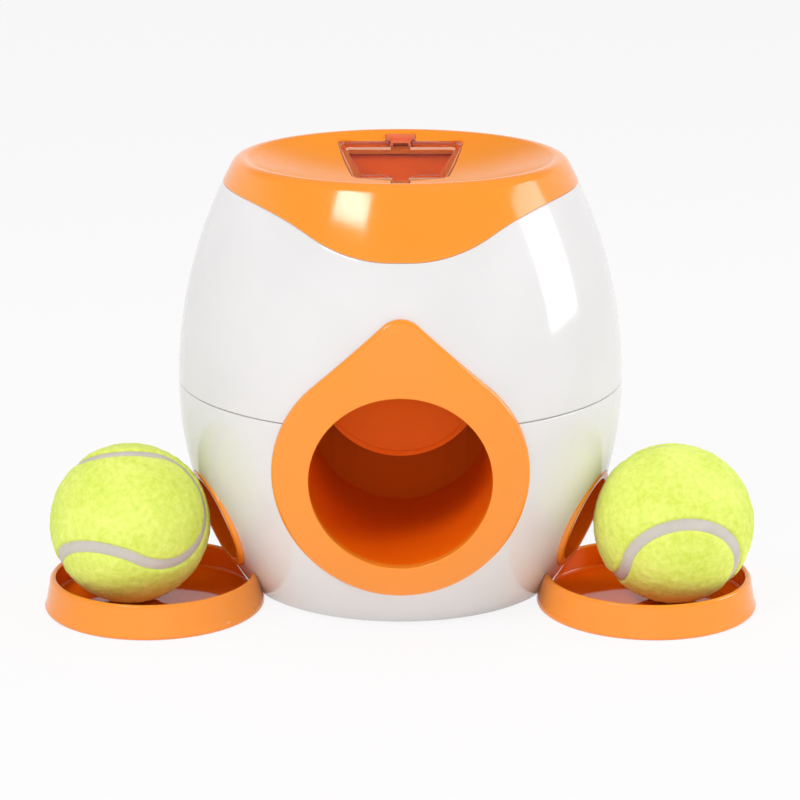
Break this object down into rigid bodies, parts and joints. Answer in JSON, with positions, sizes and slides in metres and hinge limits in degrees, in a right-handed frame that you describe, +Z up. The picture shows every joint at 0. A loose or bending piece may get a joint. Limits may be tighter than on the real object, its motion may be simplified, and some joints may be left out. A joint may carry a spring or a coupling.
{
  "type": "fetch-and-treat ball machine",
  "caption": "Barrel-shaped dog toy: a ball dropped in the front tube swings a paddle that turns a treat drum; treats slide from side spouts into removable dishes.",
  "frame": {"origin": "on the floor under the middle of the barrel", "axes": "+Z up, the ball tube looks along -Y, +X to the right seen from the front"},
  "size_m": [0.2882, 0.1841, 0.178],
  "materials": {
    "white_plastic": "glossy moulded white",
    "orange_plastic": "glossy moulded orange",
    "grey_plastic": "fine matt",
    "clear_plastic": "clear, slightly smoky",
    "bush_plastic": "natural nylon",
    "black_rubber": "matt",
    "zinc_steel": "zinc plated",
    "steel_pin": "ground",
    "ball_rubber": "moulded",
    "felt": "brushed felt",
    "seam_rubber": "matt off-white"
  },
  "bodies": {
    "machine": {"lower_housing": "white_plastic", "upper_housing": "white_plastic", "top_bezel": "orange_plastic", "base_plate": "grey_plastic", "rubber_feet": "black_rubber", "base_screws": "zinc_steel", "housing_screws": "zinc_steel", "bezel_screws": "zinc_steel", "front_surround": "orange_plastic", "ball_well_back": "orange_plastic", "paddle_bumpers": "black_rubber", "hopper": "orange_plastic", "hatch_pin": "steel_pin", "mechanism_frame": "grey_plastic", "frame_screws": "zinc_steel", "axle_bushes": "bush_plastic", "return_spring": "steel_pin", "treat_chute": "orange_plastic", "spout_right": "orange_plastic", "spout_left": "orange_plastic"},
    "lid": {"hatch_lid": "clear_plastic"},
    "paddle_group": {"paddle": "orange_plastic", "paddle_axle": "steel_pin", "sector_gear": "bush_plastic", "paddle_clips": "zinc_steel"},
    "drum_group": {"treat_drum": "grey_plastic", "drum_axle": "steel_pin", "drum_pinion": "bush_plastic", "drum_clips": "zinc_steel"},
    "tray_left_body": {"tray_left": "orange_plastic"},
    "tray_right_body": {"tray_right": "orange_plastic"},
    "ball_left_body": {"ball_core_left": "ball_rubber", "ball_felt_left": "felt", "ball_seam_left": "seam_rubber"},
    "ball_right_body": {"ball_core_right": "ball_rubber", "ball_felt_right": "felt", "ball_seam_right": "seam_rubber"}
  },
  "joints": [
    {"name": "lid_hinge", "type": "hinge", "parent": "machine", "child": "lid", "pos_m": [0, 0.0572, 0.1746], "axis": [-1, 0, 0], "range_deg": [0, 100]},
    {"name": "paddle_swing", "type": "hinge", "parent": "machine", "child": "paddle_group", "pos_m": [0, -0.024, 0.118], "axis": [1, 0, 0], "range_deg": [0, 20], "stiffness_Nm_per_rad": 0.02, "springref_deg": -5.73, "deforming": ["return_spring"]},
    {"name": "drum_turn", "type": "hinge", "parent": "machine", "child": "drum_group", "pos_m": [0, 0.018, 0.118], "axis": [1, 0, 0], "range_deg": [-60, 0]},
    {"name": "tray_left_pull", "type": "slide", "parent": "machine", "child": "tray_left_body", "axis": [-0.9304, -0.3665, 0], "range_m": [0, 0.06]},
    {"name": "tray_right_pull", "type": "slide", "parent": "machine", "child": "tray_right_body", "axis": [0.9304, -0.3665, 0], "range_m": [0, 0.06]},
    {"name": "ball_left_lift", "type": "slide", "parent": "tray_left_body", "child": "ball_left_body", "axis": [-0.6579, -0.2592, 0.7071], "range_m": [0, 0.08]},
    {"name": "ball_right_lift", "type": "slide", "parent": "tray_right_body", "child": "ball_right_body", "axis": [0.6579, -0.2592, 0.7071], "range_m": [0, 0.08]}
  ],
  "couplings": [
    {"joint": "drum_turn", "follows": "paddle_swing", "ratio": -3}
  ]
}
